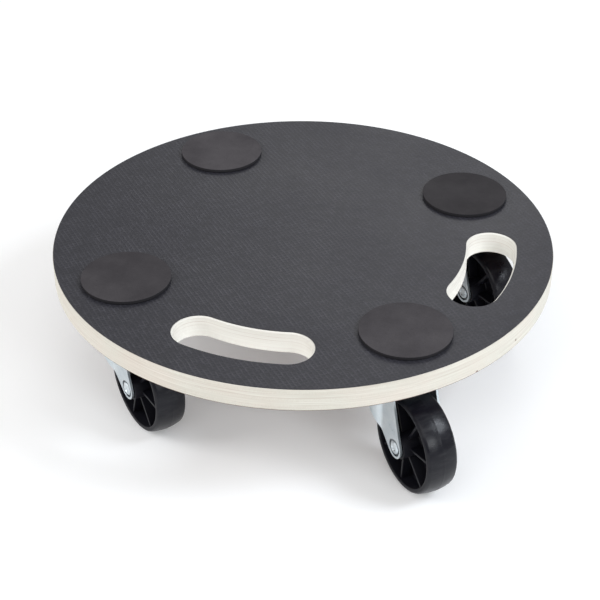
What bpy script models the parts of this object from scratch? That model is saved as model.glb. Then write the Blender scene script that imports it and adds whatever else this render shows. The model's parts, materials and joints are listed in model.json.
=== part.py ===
"""Round furniture dolly: plywood deck, four swivel casters, anti-slip pads.

World frame: metres, +Z up, origin on the floor under the centre of the deck.
The hand slots lie on the -Y and +X axes, and the casters stand between them.
Each caster has its own frame: origin on the floor under the swivel axis,
x along the trail (from the swivel axis to the wheel) and y along the axle.
"""

from math import acos, asin, atan2, cos, hypot, pi, radians, sin

import bmesh
import bpy
from mathutils import Matrix, Vector

# Fits between pieces
GAP = 0.0003
GLUE_LINE = 0.0001
CUT_MARGIN = 0.005

# Deck
DECK_RADIUS = 0.200
CASTER_HEIGHT = 0.097
UNDERSIDE_FILM = 0.0004
PLYWOOD = 0.018
TOP_FILM = 0.0006
SLOT_RADIUS = 0.151
SLOT_WIDTH = 0.0376
SLOT_FILM_SETBACK = 0.0012
SLOT_HALF_SPAN = radians(13.3)
SLOT_AZIMUTHS = (radians(-90.0), radians(0.0))
PAD_RADIUS = 0.035
PAD_THICKNESS = 0.003
PAD_CHAMFER = 0.0005

# Casters: name, azimuth of the swivel axis, azimuth the wheel trails towards,
# angle of one rib up from the trail, then radius and azimuth of the glued pad above
CASTER_RING = 0.1523
STATIONS = (
    ("front_right", -45.0, -44.8, -42.0, 0.1514, -42.6),
    ("back_right", 45.0, -39.3, -51.0, 0.1506, 43.4),
    ("back_left", 135.0, -42.0, -20.0, 0.1560, 134.8),
    ("front_left", 222.7, -39.6, -55.0, 0.1498, 222.0),
)

# Top plate: a square with a pressed dish that carries the kingpin
PLATE_HALF = 0.030
PLATE_CORNER = 0.006
PLATE_SHEET = 0.002
DISH_DEPTH = 0.0026
DISH_FLOOR_RADIUS = 0.0128
DISH_MOUTH_RADIUS = 0.0175
DISH_WALL_STEP = 0.0012
HOLE_PITCH_HALF = 0.0225
PLATE_HOLE_RADIUS = 0.0028

# Wood screws, driven upwards through the plate
SCREW_RADIUS = 0.0021
SCREW_LENGTH = 0.016
SCREW_HEAD_RADIUS = 0.0040
SCREW_HEAD_HEIGHT = 0.0022
SCREW_POINT = 0.003
PILOT_CLEARANCE = 0.0004

# Swivel bearing: two rings of balls, above and below the floor of the fork head
BALL_RADIUS = 0.00238
BALL_RING_RADIUS = 0.0114
BALLS_IN_RING = 8
CAGE_RADIUS = 0.0007
CAGE_SHARE = 0.95
KINGPIN_RADIUS = 0.005
KINGPIN_HEAD_RADIUS = 0.009
KINGPIN_HEAD_HEIGHT = 0.0018
KINGPIN_TAIL_RADIUS = 0.008
KINGPIN_TAIL_HEIGHT = 0.0028
RACE_RADIUS = 0.0155
RACE_SHEET = 0.0016
RACE_RIM_INNER = 0.0143
RACE_RIM_HEIGHT = 0.0042

# Fork: a drawn round head with a skirt, running out into two flat legs
SHEET = 0.0018
HEAD_RADIUS = 0.0225
HEAD_TOP = 0.092
HEAD_CORNER = 0.0012
RECESS_RADIUS = 0.015
RECESS_WALL = 0.0022
FORK_BORE = 0.006
SKIRT_FRONT_HEIGHT = 0.0767
REAR_LIP_HEIGHT = 0.082
LEG_OUTER = 0.0191
LEG_TOP = 0.0905
BOSS_RADIUS = 0.0088
AXLE_DIMPLE_RADIUS = 0.0070
AXLE_DIMPLE_DEPTH = 0.0014

# Wheel and axle
WHEEL_RADIUS = 0.040
WHEEL_HALF_WIDTH = 0.0133
TRAIL = 0.031
RIM_LIP_RADIUS = 0.0342
RIM_FLOOR_RADIUS = 0.0334
LIP_HALF_WIDTH = 0.0122
WEB_HALF = 0.0015
HUB_END_RADIUS = 0.0098
HUB_ROOT_RADIUS = 0.0108
HUB_HALF_LENGTH = 0.0165
HUB_BORE = 0.0063
TREAD_CROWN = 0.0022
TREAD_FLAT_HALF = 0.0016
TREAD_STATIONS = (0.0112, 0.0064)
SHOULDER_REACH = 0.0020
SHOULDER_INSET = 0.0006
RIB_COUNT = 7
RIB_HALF_THICKNESS = 0.001
RIB_HALF_HEIGHT = 0.0105
AXLE_RADIUS = 0.004
AXLE_HEAD_RADIUS = 0.0053
AXLE_HEAD_HEIGHT = 0.0018
AXLE_HEAD_DOME = 0.0007
SLEEVE_RADIUS = 0.006

# Facets of the round pieces
DECK_SEGMENTS = 72
PAD_SEGMENTS = 32
SLOT_END_STEPS = 6
SLOT_SIDE_STEPS = 4
HEAD_SEGMENTS = 24
WHEEL_SEGMENTS = 28
SMALL_SEGMENTS = 16
BOSS_STEPS = 10
PIN_SEGMENTS = 12
SCREW_SEGMENTS = 6
BALL_SEGMENTS = 6
SMOOTH_ANGLE = radians(35.0)

# Levels worked out from the stack, upwards from the floor
PLYWOOD_BOTTOM = CASTER_HEIGHT + UNDERSIDE_FILM + GLUE_LINE
PLYWOOD_TOP = PLYWOOD_BOTTOM + PLYWOOD
FILM_BOTTOM = PLYWOOD_TOP + GLUE_LINE
FILM_TOP = FILM_BOTTOM + TOP_FILM
PAD_BOTTOM = FILM_TOP + GLUE_LINE
PLATE_TOP = CASTER_HEIGHT - GAP
PLATE_BOTTOM = PLATE_TOP - PLATE_SHEET
DISH_BOTTOM = PLATE_BOTTOM - DISH_DEPTH
UPPER_BALL_HEIGHT = DISH_BOTTOM - GAP - BALL_RADIUS
HEAD_FLOOR_TOP = UPPER_BALL_HEIGHT - BALL_RADIUS - GAP
HEAD_FLOOR_BOTTOM = HEAD_FLOOR_TOP - SHEET
LOWER_BALL_HEIGHT = HEAD_FLOOR_BOTTOM - GAP - BALL_RADIUS
RACE_TOP = LOWER_BALL_HEIGHT - BALL_RADIUS - GAP
RACE_BOTTOM = RACE_TOP - RACE_SHEET
LEG_INNER = LEG_OUTER - SHEET


def clear_scene():
    for existing in list(bpy.data.objects):
        bpy.data.objects.remove(existing, do_unlink=True)


def make_material(name, colour, metallic, roughness):
    material = bpy.data.materials.new(name)
    material.use_nodes = True
    shader = material.node_tree.nodes["Principled BSDF"]
    shader.inputs["Base Color"].default_value = (*colour, 1.0)
    shader.inputs["Metallic"].default_value = metallic
    shader.inputs["Roughness"].default_value = roughness
    return material


# Meshes

def mesh_from(vertices, faces):
    mesh = bpy.data.meshes.new("shape")
    mesh.from_pydata(vertices, [], faces)
    work = bmesh.new()
    work.from_mesh(mesh)
    bmesh.ops.recalc_face_normals(work, faces=work.faces)
    work.to_mesh(mesh)
    work.free()
    return mesh


def turned(profile, segments):
    """Closed solid of revolution about z from a closed outline of (radius, height)."""
    vertices = []
    rings = []
    for radius, height in profile:
        if radius == 0.0:
            rings.append([len(vertices)] * segments)
            vertices.append((0.0, 0.0, height))
            continue
        rings.append(list(range(len(vertices), len(vertices) + segments)))
        for step in range(segments):
            angle = 2.0 * pi * step / segments
            vertices.append((radius * cos(angle), radius * sin(angle), height))
    faces = []
    for index, lower in enumerate(rings):
        upper = rings[(index + 1) % len(rings)]
        for step in range(segments):
            after = (step + 1) % segments
            corners = [lower[step], lower[after], upper[after], upper[step]]
            face = list(dict.fromkeys(corners))
            if len(face) > 2:
                faces.append(face)
    return mesh_from(vertices, faces)


def prism(outline, bottom, top):
    """Closed solid between two levels from a closed outline of (x, y)."""
    count = len(outline)
    vertices = [(x, y, bottom) for x, y in outline]
    vertices += [(x, y, top) for x, y in outline]
    faces = [list(range(count)), list(range(count, 2 * count))]
    for index in range(count):
        after = (index + 1) % count
        faces.append([index, after, count + after, count + index])
    return mesh_from(vertices, faces)


def box(lowest, highest):
    outline = [(lowest[0], lowest[1]), (highest[0], lowest[1]),
               (highest[0], highest[1]), (lowest[0], highest[1])]
    return prism(outline, lowest[2], highest[2])


def cylinder(radius, bottom, top, segments):
    return prism(arc((0.0, 0.0), radius, 0.0, 2.0 * pi, segments)[:-1], bottom, top)


def moved(mesh, matrix):
    mesh.transform(matrix)
    return mesh


def joined(meshes):
    """One mesh that holds several separate bodies, for use as a cutter."""
    work = bmesh.new()
    for mesh in meshes:
        work.from_mesh(mesh)
    result = bpy.data.meshes.new("cutter")
    work.to_mesh(result)
    work.free()
    return result


def combined(mesh, other, operation):
    """The mesh after an exact Boolean with the other mesh."""
    target = bpy.data.objects.new("target", mesh)
    tool = bpy.data.objects.new("tool", other)
    for working in (target, tool):
        bpy.context.scene.collection.objects.link(working)
    modifier = target.modifiers.new("boolean", "BOOLEAN")
    modifier.operation = operation
    modifier.solver = "EXACT"
    modifier.object = tool
    bpy.context.view_layer.update()
    evaluated = target.evaluated_get(bpy.context.evaluated_depsgraph_get())
    result = bpy.data.meshes.new_from_object(evaluated)
    for working in (target, tool):
        bpy.data.objects.remove(working, do_unlink=True)
    return result


# Outlines

def arc(centre, radius, start, end, steps):
    points = []
    for step in range(steps + 1):
        angle = start + (end - start) * step / steps
        points.append((centre[0] + radius * cos(angle), centre[1] + radius * sin(angle)))
    return points


def slot_outline(azimuth, growth):
    """Kidney-shaped hand slot: two arcs about the deck's centre and two round ends."""
    half = SLOT_WIDTH / 2.0 + growth
    first = azimuth - SLOT_HALF_SPAN
    last = azimuth + SLOT_HALF_SPAN
    last_centre = (SLOT_RADIUS * cos(last), SLOT_RADIUS * sin(last))
    first_centre = (SLOT_RADIUS * cos(first), SLOT_RADIUS * sin(first))
    outline = arc((0.0, 0.0), SLOT_RADIUS + half, first, last, SLOT_SIDE_STEPS)
    outline += arc(last_centre, half, last, last + pi, SLOT_END_STEPS)[1:]
    outline += arc((0.0, 0.0), SLOT_RADIUS - half, last, first, SLOT_SIDE_STEPS)[1:]
    outline += arc(first_centre, half, first + pi, first + 2.0 * pi, SLOT_END_STEPS)[1:-1]
    return outline


def rounded_square(half, corner, steps):
    outline = []
    for quarter in range(4):
        angle = quarter * pi / 2.0
        side = half - corner
        centre_x = side * (cos(angle) - sin(angle))
        centre_y = side * (sin(angle) + cos(angle))
        outline += arc((centre_x, centre_y), corner, angle, angle + pi / 2.0, steps)
    return outline


def tangent_angle(point, side):
    """Direction from the boss centre to where a line from the point touches the boss."""
    reach_x = point[0] - TRAIL
    reach_z = point[1] - WHEEL_RADIUS
    spread = acos(BOSS_RADIUS / hypot(reach_x, reach_z))
    return atan2(reach_z, reach_x) + side * spread


def fork_side_outline():
    """Side view of the fork as (x, z): round boss, raked front edge, sloping rear edge."""
    front_low = (-HEAD_RADIUS - GAP, SKIRT_FRONT_HEIGHT)
    rear_high = (HEAD_RADIUS, HEAD_TOP + GAP)
    start = tangent_angle(front_low, 1.0)
    end = tangent_angle(rear_high, -1.0) + 2.0 * pi
    boss = arc((TRAIL, WHEEL_RADIUS), BOSS_RADIUS, start, end, BOSS_STEPS)
    return [front_low] + boss + [rear_high, (front_low[0], rear_high[1])]


# Placing

def place(name, mesh, material, parent=None, location=(0.0, 0.0, 0.0), rotation=(0.0, 0.0, 0.0)):
    mesh.name = name
    mesh.materials.clear()
    mesh.materials.append(material)
    mesh.shade_smooth()
    mesh.set_sharp_from_angle(angle=SMOOTH_ANGLE)
    placed = bpy.data.objects.new(name, mesh)
    bpy.context.scene.collection.objects.link(placed)
    placed.parent = parent
    placed.location = location
    placed.rotation_euler = rotation
    return placed


def empty(name, location, azimuth):
    marker = bpy.data.objects.new(name, None)
    bpy.context.scene.collection.objects.link(marker)
    marker.location = location
    marker.rotation_euler = (0.0, 0.0, azimuth)
    return marker


def polar(radius, azimuth, height):
    return (radius * cos(azimuth), radius * sin(azimuth), height)


# Deck pieces

def screw_places():
    """Position of each screw's axis as (station name, number, x, y) in the deck frame."""
    places = []
    for name, azimuth, *_ in STATIONS:
        centre = Vector(polar(CASTER_RING, radians(azimuth), 0.0))
        turn = Matrix.Rotation(radians(azimuth), 3, "Z")
        corners = ((1, 1), (-1, 1), (-1, -1), (1, -1))
        for number, (along, across) in enumerate(corners, start=1):
            offset = turn @ Vector((along * HOLE_PITCH_HALF, across * HOLE_PITCH_HALF, 0.0))
            places.append((name, number, centre.x + offset.x, centre.y + offset.y))
    return places


def slot_cutters(growth):
    low = CASTER_HEIGHT - CUT_MARGIN
    high = FILM_TOP + CUT_MARGIN
    return [prism(slot_outline(azimuth, growth), low, high) for azimuth in SLOT_AZIMUTHS]


def pilot_cutters():
    """Holes for the screw shanks, open at the underside of the deck."""
    cutters = []
    radius = SCREW_RADIUS + PILOT_CLEARANCE
    top = PLATE_BOTTOM + SCREW_LENGTH + GAP
    for _, _, x, y in screw_places():
        hole = cylinder(radius, CASTER_HEIGHT - CUT_MARGIN, top, SCREW_SEGMENTS)
        cutters.append(moved(hole, Matrix.Translation((x, y, 0.0))))
    return cutters


def deck_disc(bottom, top, cutters):
    disc = cylinder(DECK_RADIUS, bottom, top, DECK_SEGMENTS)
    return combined(disc, joined(cutters), "DIFFERENCE")


def build_deck(wood, film, brown_film):
    under = slot_cutters(SLOT_FILM_SETBACK) + pilot_cutters()
    place("underside_film", deck_disc(CASTER_HEIGHT, CASTER_HEIGHT + UNDERSIDE_FILM, under), brown_film)
    through = slot_cutters(0.0) + pilot_cutters()
    place("deck_plywood", deck_disc(PLYWOOD_BOTTOM, PLYWOOD_TOP, through), wood)
    place("antislip_film", deck_disc(FILM_BOTTOM, FILM_TOP, slot_cutters(SLOT_FILM_SETBACK)), film)


def pad_mesh():
    profile = (
        (0.0, 0.0),
        (PAD_RADIUS, 0.0),
        (PAD_RADIUS, PAD_THICKNESS - PAD_CHAMFER),
        (PAD_RADIUS - PAD_CHAMFER, PAD_THICKNESS),
        (0.0, PAD_THICKNESS),
    )
    return turned(profile, PAD_SEGMENTS)


# Caster pieces, each in the caster's own frame

def top_plate_mesh():
    square = prism(rounded_square(PLATE_HALF, PLATE_CORNER, 3), PLATE_BOTTOM, PLATE_TOP)
    bore = KINGPIN_RADIUS + GAP
    mouth = DISH_MOUTH_RADIUS - DISH_WALL_STEP / 2.0
    holes = [cylinder(mouth, PLATE_BOTTOM - GAP, PLATE_TOP + GAP, SMALL_SEGMENTS)]
    for along in (-HOLE_PITCH_HALF, HOLE_PITCH_HALF):
        for across in (-HOLE_PITCH_HALF, HOLE_PITCH_HALF):
            hole = cylinder(PLATE_HOLE_RADIUS, PLATE_BOTTOM - GAP, PLATE_TOP + GAP, SCREW_SEGMENTS)
            holes.append(moved(hole, Matrix.Translation((along, across, 0.0))))
    square = combined(square, joined(holes), "DIFFERENCE")
    dish = turned((
        (bore, DISH_BOTTOM),
        (DISH_FLOOR_RADIUS, DISH_BOTTOM),
        (DISH_MOUTH_RADIUS, PLATE_BOTTOM),
        (DISH_MOUTH_RADIUS, PLATE_TOP),
        (DISH_MOUTH_RADIUS - DISH_WALL_STEP, PLATE_TOP),
        (DISH_FLOOR_RADIUS - DISH_WALL_STEP, DISH_BOTTOM + PLATE_SHEET),
        (bore, DISH_BOTTOM + PLATE_SHEET),
    ), SMALL_SEGMENTS)
    return combined(square, dish, "UNION")


def kingpin_mesh():
    head_bottom = DISH_BOTTOM + PLATE_SHEET + GAP
    tail_top = RACE_BOTTOM - GAP
    return turned((
        (0.0, tail_top - KINGPIN_TAIL_HEIGHT),
        (KINGPIN_TAIL_RADIUS, tail_top - KINGPIN_TAIL_HEIGHT),
        (KINGPIN_TAIL_RADIUS, tail_top),
        (KINGPIN_RADIUS, tail_top),
        (KINGPIN_RADIUS, head_bottom),
        (KINGPIN_HEAD_RADIUS, head_bottom),
        (KINGPIN_HEAD_RADIUS, head_bottom + KINGPIN_HEAD_HEIGHT),
        (0.0, head_bottom + KINGPIN_HEAD_HEIGHT),
    ), PIN_SEGMENTS)


def lower_race_mesh():
    bore = KINGPIN_RADIUS + GAP
    return turned((
        (bore, RACE_BOTTOM),
        (RACE_RADIUS, RACE_BOTTOM),
        (RACE_RADIUS, RACE_BOTTOM + RACE_RIM_HEIGHT),
        (RACE_RIM_INNER, RACE_BOTTOM + RACE_RIM_HEIGHT),
        (RACE_RIM_INNER, RACE_TOP),
        (bore, RACE_TOP),
    ), SMALL_SEGMENTS)


def ball_ring_mesh():
    """Balls held in a ring by a thin cage wire: a torus whose tube swells at each ball."""
    half_ball_angle = asin(BALL_RADIUS / BALL_RING_RADIUS)
    stations = []
    for ball in range(BALLS_IN_RING):
        middle = 2.0 * pi * ball / BALLS_IN_RING
        for share, thickness in ((-CAGE_SHARE, CAGE_RADIUS), (0.0, BALL_RADIUS), (CAGE_SHARE, CAGE_RADIUS)):
            stations.append((middle + share * half_ball_angle, thickness))
    vertices = []
    for angle, thickness in stations:
        for step in range(BALL_SEGMENTS):
            turn = 2.0 * pi * step / BALL_SEGMENTS + pi / 2.0
            radius = BALL_RING_RADIUS + thickness * cos(turn)
            vertices.append((radius * cos(angle), radius * sin(angle), thickness * sin(turn)))
    faces = []
    for index in range(len(stations)):
        after = (index + 1) % len(stations)
        for step in range(BALL_SEGMENTS):
            beside = (step + 1) % BALL_SEGMENTS
            faces.append([index * BALL_SEGMENTS + step, after * BALL_SEGMENTS + step,
                          after * BALL_SEGMENTS + beside, index * BALL_SEGMENTS + beside])
    return mesh_from(vertices, faces)


def axle_turn(mesh):
    """Lay a solid turned about z along the axle, with its low end on the -y side."""
    lay_down = Matrix.Rotation(-pi / 2.0, 4, "X")
    return moved(mesh, Matrix.Translation((TRAIL, 0.0, WHEEL_RADIUS)) @ lay_down)


def fork_mesh():
    inner = HEAD_RADIUS - SHEET
    groove = RECESS_RADIUS + RECESS_WALL
    skirt_bottom = WHEEL_RADIUS
    head = turned((
        (HEAD_RADIUS, skirt_bottom),
        (HEAD_RADIUS, HEAD_TOP - HEAD_CORNER),
        (HEAD_RADIUS - HEAD_CORNER, HEAD_TOP),
        (RECESS_RADIUS, HEAD_TOP),
        (RECESS_RADIUS, HEAD_FLOOR_TOP),
        (FORK_BORE, HEAD_FLOOR_TOP),
        (FORK_BORE, HEAD_FLOOR_BOTTOM),
        (groove, HEAD_FLOOR_BOTTOM),
        (groove, HEAD_TOP - SHEET),
        (inner, HEAD_TOP - SHEET),
        (inner, skirt_bottom),
    ), HEAD_SEGMENTS)
    leg_start = inner * cos(asin(LEG_INNER / inner)) + GAP
    leg_end = TRAIL + 2.0 * BOSS_RADIUS
    floor = WHEEL_RADIUS - 2.0 * BOSS_RADIUS
    for side in (-1.0, 1.0):
        across = sorted((side * LEG_INNER, side * LEG_OUTER))
        leg = box((leg_start, across[0], floor), (leg_end, across[1], LEG_TOP))
        head = combined(head, leg, "UNION")
    side_view = prism(fork_side_outline(), -2.0 * HEAD_RADIUS, 2.0 * HEAD_RADIUS)
    stand_up = Matrix.Rotation(pi / 2.0, 4, "X")
    head = combined(head, moved(side_view, stand_up), "INTERSECT")
    wheel_way = box((0.0, -LEG_INNER, 0.0), (leg_end, LEG_INNER, REAR_LIP_HEIGHT))
    head = combined(head, wheel_way, "DIFFERENCE")
    dimple_floor = LEG_OUTER - AXLE_DIMPLE_DEPTH
    axle_hole = cylinder(AXLE_RADIUS + GAP, -2.0 * LEG_OUTER, 2.0 * LEG_OUTER, PIN_SEGMENTS)
    head = combined(head, axle_turn(axle_hole), "DIFFERENCE")
    for side in (-1.0, 1.0):
        across = sorted((side * dimple_floor, side * (LEG_OUTER + SHEET)))
        dimple = cylinder(AXLE_DIMPLE_RADIUS, across[0], across[1], SMALL_SEGMENTS)
        head = combined(head, axle_turn(dimple), "DIFFERENCE")
    return head


def axle_mesh():
    """Riveted axle: a shank with a domed head in each leg's dimple."""
    seat = LEG_OUTER - AXLE_DIMPLE_DEPTH + GAP
    shoulder = seat + AXLE_HEAD_HEIGHT - AXLE_HEAD_DOME
    crown = seat + AXLE_HEAD_HEIGHT
    crown_radius = AXLE_HEAD_RADIUS - 2.0 * AXLE_HEAD_DOME
    half = [(AXLE_RADIUS, seat), (AXLE_HEAD_RADIUS, seat), (AXLE_HEAD_RADIUS, shoulder),
            (crown_radius, crown), (0.0, crown)]
    mirrored = [(radius, -height) for radius, height in reversed(half)]
    return axle_turn(turned(half + mirrored, PIN_SEGMENTS))


def sleeve_mesh():
    """Steel tube that the legs clamp and the wheel's hub turns on."""
    bore = AXLE_RADIUS + GAP
    reach = LEG_INNER - GAP
    profile = ((bore, -reach), (SLEEVE_RADIUS, -reach), (SLEEVE_RADIUS, reach), (bore, reach))
    return axle_turn(turned(profile, PIN_SEGMENTS))


def wheel_mesh(rib_angle):
    """Wheel about z, centred on the origin: crowned tread, lipped rim, web, ribs and hub."""
    tread_edge = WHEEL_RADIUS - TREAD_CROWN
    half = [
        (HUB_BORE, HUB_HALF_LENGTH),
        (HUB_END_RADIUS, HUB_HALF_LENGTH),
        (HUB_ROOT_RADIUS, WEB_HALF),
        (RIM_FLOOR_RADIUS, WEB_HALF),
        (RIM_LIP_RADIUS, LIP_HALF_WIDTH),
        (tread_edge - SHOULDER_REACH, WHEEL_HALF_WIDTH),
        (tread_edge - SHOULDER_INSET, WHEEL_HALF_WIDTH - SHOULDER_INSET),
    ]
    for width in TREAD_STATIONS:
        share = width / WHEEL_HALF_WIDTH
        half.append((WHEEL_RADIUS - TREAD_CROWN * share * share, width))
    half.append((WHEEL_RADIUS, TREAD_FLAT_HALF))
    mirrored = [(radius, -height) for radius, height in reversed(half)]
    body = turned(half + mirrored, WHEEL_SEGMENTS)
    inner_end = (HUB_BORE + HUB_END_RADIUS) / 2.0
    outer_end = (RIM_LIP_RADIUS + WHEEL_RADIUS) / 2.0
    for rib_number in range(RIB_COUNT):
        rib = box((inner_end, -RIB_HALF_THICKNESS, -RIB_HALF_HEIGHT),
                  (outer_end, RIB_HALF_THICKNESS, RIB_HALF_HEIGHT))
        turn = Matrix.Rotation(rib_angle + 2.0 * pi * rib_number / RIB_COUNT, 4, "Z")
        body = combined(body, moved(rib, turn), "UNION")
    return body


def screw_mesh():
    """Pan head screw standing on its head, with a plain shank and a point."""
    seat = PLATE_BOTTOM - GAP
    tip = PLATE_BOTTOM + SCREW_LENGTH - GAP
    return turned((
        (0.0, seat - SCREW_HEAD_HEIGHT),
        (SCREW_HEAD_RADIUS, seat - SCREW_HEAD_HEIGHT),
        (SCREW_HEAD_RADIUS, seat),
        (SCREW_RADIUS, seat),
        (SCREW_RADIUS, tip - SCREW_POINT),
        (0.0, tip),
    ), SCREW_SEGMENTS)


def main():
    clear_scene()
    wood = make_material("birch_plywood", (0.72, 0.63, 0.50), 0.0, 0.55)
    film = make_material("grey_antislip_film", (0.075, 0.075, 0.085), 0.0, 0.55)
    brown_film = make_material("brown_smooth_film", (0.10, 0.05, 0.03), 0.0, 0.35)
    rubber = make_material("black_rubber", (0.055, 0.048, 0.048), 0.0, 0.8)
    zinc = make_material("zinc_plated_steel", (0.62, 0.65, 0.68), 1.0, 0.3)
    polymer = make_material("black_polypropylene", (0.02, 0.02, 0.022), 0.0, 0.4)

    build_deck(wood, film, brown_film)
    shared = {
        "top_plate": top_plate_mesh(),
        "kingpin": kingpin_mesh(),
        "lower_race": lower_race_mesh(),
        "balls": ball_ring_mesh(),
        "fork": fork_mesh(),
        "axle": axle_mesh(),
        "sleeve": sleeve_mesh(),
        "pad": pad_mesh(),
        "screw": screw_mesh(),
    }
    for name, azimuth, trail_azimuth, rib_angle, pad_ring, pad_azimuth in STATIONS:
        foot = polar(CASTER_RING, radians(azimuth), 0.0)
        fixed = empty(f"mounting_{name}", foot, radians(azimuth))
        swivel = empty(f"swivel_{name}", foot, radians(trail_azimuth))
        pad_place = polar(pad_ring, radians(pad_azimuth), PAD_BOTTOM)
        place(f"pad_{name}", shared["pad"].copy(), rubber, location=pad_place)
        for piece in ("top_plate", "kingpin", "lower_race"):
            place(f"{piece}_{name}", shared[piece].copy(), zinc, parent=fixed)
        for piece in ("fork", "axle", "sleeve"):
            place(f"{piece}_{name}", shared[piece].copy(), zinc, parent=swivel)
        for piece, height in (("upper_balls", UPPER_BALL_HEIGHT), ("lower_balls", LOWER_BALL_HEIGHT)):
            place(f"{piece}_{name}", shared["balls"].copy(), zinc, parent=swivel,
                  location=(0.0, 0.0, height))
        place(f"wheel_{name}", wheel_mesh(radians(rib_angle)), polymer, parent=swivel,
              location=(TRAIL, 0.0, WHEEL_RADIUS), rotation=(pi / 2.0, 0.0, 0.0))
    for name, number, x, y in screw_places():
        place(f"screw_{name}_{number}", shared["screw"].copy(), zinc, location=(x, y, 0.0))


main()
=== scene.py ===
"""Looks for the round furniture dolly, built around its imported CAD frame.

World frame: metres, +Z up, origin on the floor under the centre of the deck.
The pieces of a caster are made in the caster's own frame: origin on the floor
under the swivel axis, x along the trail and y along the axle.
"""

import json
from math import acos, asin, atan2, cos, hypot, pi, radians, sin, tan

import bmesh
import bpy
from mathutils import Matrix, Vector


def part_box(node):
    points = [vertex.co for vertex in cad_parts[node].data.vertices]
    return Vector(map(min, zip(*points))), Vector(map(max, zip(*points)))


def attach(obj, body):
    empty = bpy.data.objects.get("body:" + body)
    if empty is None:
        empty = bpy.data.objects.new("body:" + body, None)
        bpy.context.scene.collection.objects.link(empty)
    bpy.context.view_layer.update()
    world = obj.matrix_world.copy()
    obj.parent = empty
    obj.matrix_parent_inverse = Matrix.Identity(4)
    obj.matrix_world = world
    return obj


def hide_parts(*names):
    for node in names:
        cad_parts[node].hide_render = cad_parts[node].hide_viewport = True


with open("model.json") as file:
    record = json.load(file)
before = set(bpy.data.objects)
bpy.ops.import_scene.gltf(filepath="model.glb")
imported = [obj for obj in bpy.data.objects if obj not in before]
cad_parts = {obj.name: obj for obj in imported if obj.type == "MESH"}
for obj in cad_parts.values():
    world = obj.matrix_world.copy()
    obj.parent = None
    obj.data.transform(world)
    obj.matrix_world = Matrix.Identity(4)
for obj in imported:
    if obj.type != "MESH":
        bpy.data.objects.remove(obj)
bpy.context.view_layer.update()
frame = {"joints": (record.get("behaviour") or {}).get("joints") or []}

STATIONS = ("front_right", "back_right", "back_left", "front_left")

# Deck
ARRIS = 0.0005
FILM_SETBACK = 0.0004
FILM_ARRIS = 0.00012
SLOT_RADIUS = 0.151
SLOT_WIDTH = 0.0376
SLOT_ROUNDING = 0.0012
SLOT_FILM_SETBACK = 0.0013
SLOT_HALF_SPAN = radians(13.3)
SLOT_AZIMUTHS = (radians(-90.0), radians(0.0))
PAD_RIM = 0.0004
PAD_UNDERCUT = 0.0006
PAD_SHADING_RINGS = (0.8, 0.4)
OUTER_PLY = 0.0014
PLY_COUNT = 7
PLY_WANDER = 0.00022
DARK_GLUE_DEPTH = 0.0059
DARK_GLUE_REACH = 0.0022
DARK_GLUE_FADE = 0.0036
# Reach in from the deck's edge over which painted light on the slot walls fades in
PAINTED_SLOT_LIGHT_START = 0.012
PAINTED_SLOT_LIGHT_END = 0.004
PIN_KNOTS = ((radians(-20.1), 0.1033), (radians(-33.1), 0.0982))
KNOT_RADIUS = 0.0013
MESH_PITCH = 0.0034
MESH_HEADING = radians(44.0)
PAD_SHADES = {"front_right": 1.0, "back_right": 0.62, "back_left": 1.15, "front_left": 0.95}

# Caster sizes that the frame's boxes don't give
PLATE_HALF = 0.030
PLATE_CORNER = 0.006
PLATE_SHEET = 0.002
PLATE_HOLE_RADIUS = 0.0028
HOLE_PITCH_HALF = 0.0225
DISH_FLOOR_RADIUS = 0.0128
DISH_MOUTH_RADIUS = 0.0175
DISH_WALL_STEP = 0.0012
SHEET_ARRIS = 0.00035
BORE_CLEARANCE = 0.0003
FINE_FILLET = 0.0003
SCREW_RADIUS = 0.0021
SCREW_POINT = 0.0045
SCREW_HEAD_RADIUS = 0.0040
SCREW_HEAD_HEIGHT = 0.0022
SCREW_HEAD_EDGE = 0.0009
SCREW_CROWN_RADIUS = SCREW_HEAD_RADIUS * 0.45
SCREW_CROWN_DROP = 0.00005
SCREW_TURN = radians(37.0)
SHANK_GAP = 0.00001
CROSS_REACH = 0.0019
CROSS_HALF_WIDTH = 0.00035
CROSS_DEPTH = 0.0013
CROSS_OVERSHOOT = 0.001
THREAD_DEPTH = 0.0005
THREAD_PITCH = 0.0018
THREAD_STEEPNESS = 5.0
BALL_RADIUS = 0.00238
BALL_RING_RADIUS = 0.0114
BALLS_IN_RING = 8
CAGE_HALF_WIDTH = 0.0012
CAGE_HALF_SHEET = 0.0004
CAGE_EDGE = 0.00015
KINGPIN_RADIUS = 0.005
KINGPIN_HEAD_RADIUS = 0.009
KINGPIN_HEAD_HEIGHT = 0.0018
KINGPIN_TAIL_RADIUS = 0.008
KINGPIN_TAIL_HEIGHT = 0.0028
RACE_RADIUS = 0.0155
RACE_SHEET = 0.0016
RACE_RIM_INNER = 0.0143
FORK_SHEET = 0.0018
HEAD_RADIUS = 0.0225
RECESS_RADIUS = 0.015
RECESS_WALL = 0.0022
FORK_BORE = 0.006
FORK_EDGE = 0.00032
FORK_EDGE_ANGLE = radians(38.0)
SKIRT_FRONT_HEIGHT = 0.0767
REAR_LIP_HEIGHT = 0.082
LEG_OUTER = 0.0191
LEG_TOP = 0.0905
LEG_CORNER = 0.009
LEG_CORNER_BITE = 0.00003
BOSS_RADIUS = 0.0088
DIMPLE_RADIUS = 0.0070
DIMPLE_WALL = 0.0003
DIMPLE_DEPTH = 0.0014
AXLE_RADIUS = 0.004
AXLE_HEAD_RADIUS = 0.0053
AXLE_HEAD_HEIGHT = 0.0018
AXLE_HEAD_DOME = 0.0008
AXLE_CROWN_RADIUS = AXLE_HEAD_RADIUS * 0.72
AXLE_DISH_RADIUS = AXLE_HEAD_RADIUS * 0.50
AXLE_DISH_FLOOR_RADIUS = AXLE_HEAD_RADIUS * 0.38
AXLE_DISH_DEPTH = 0.0007
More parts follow.
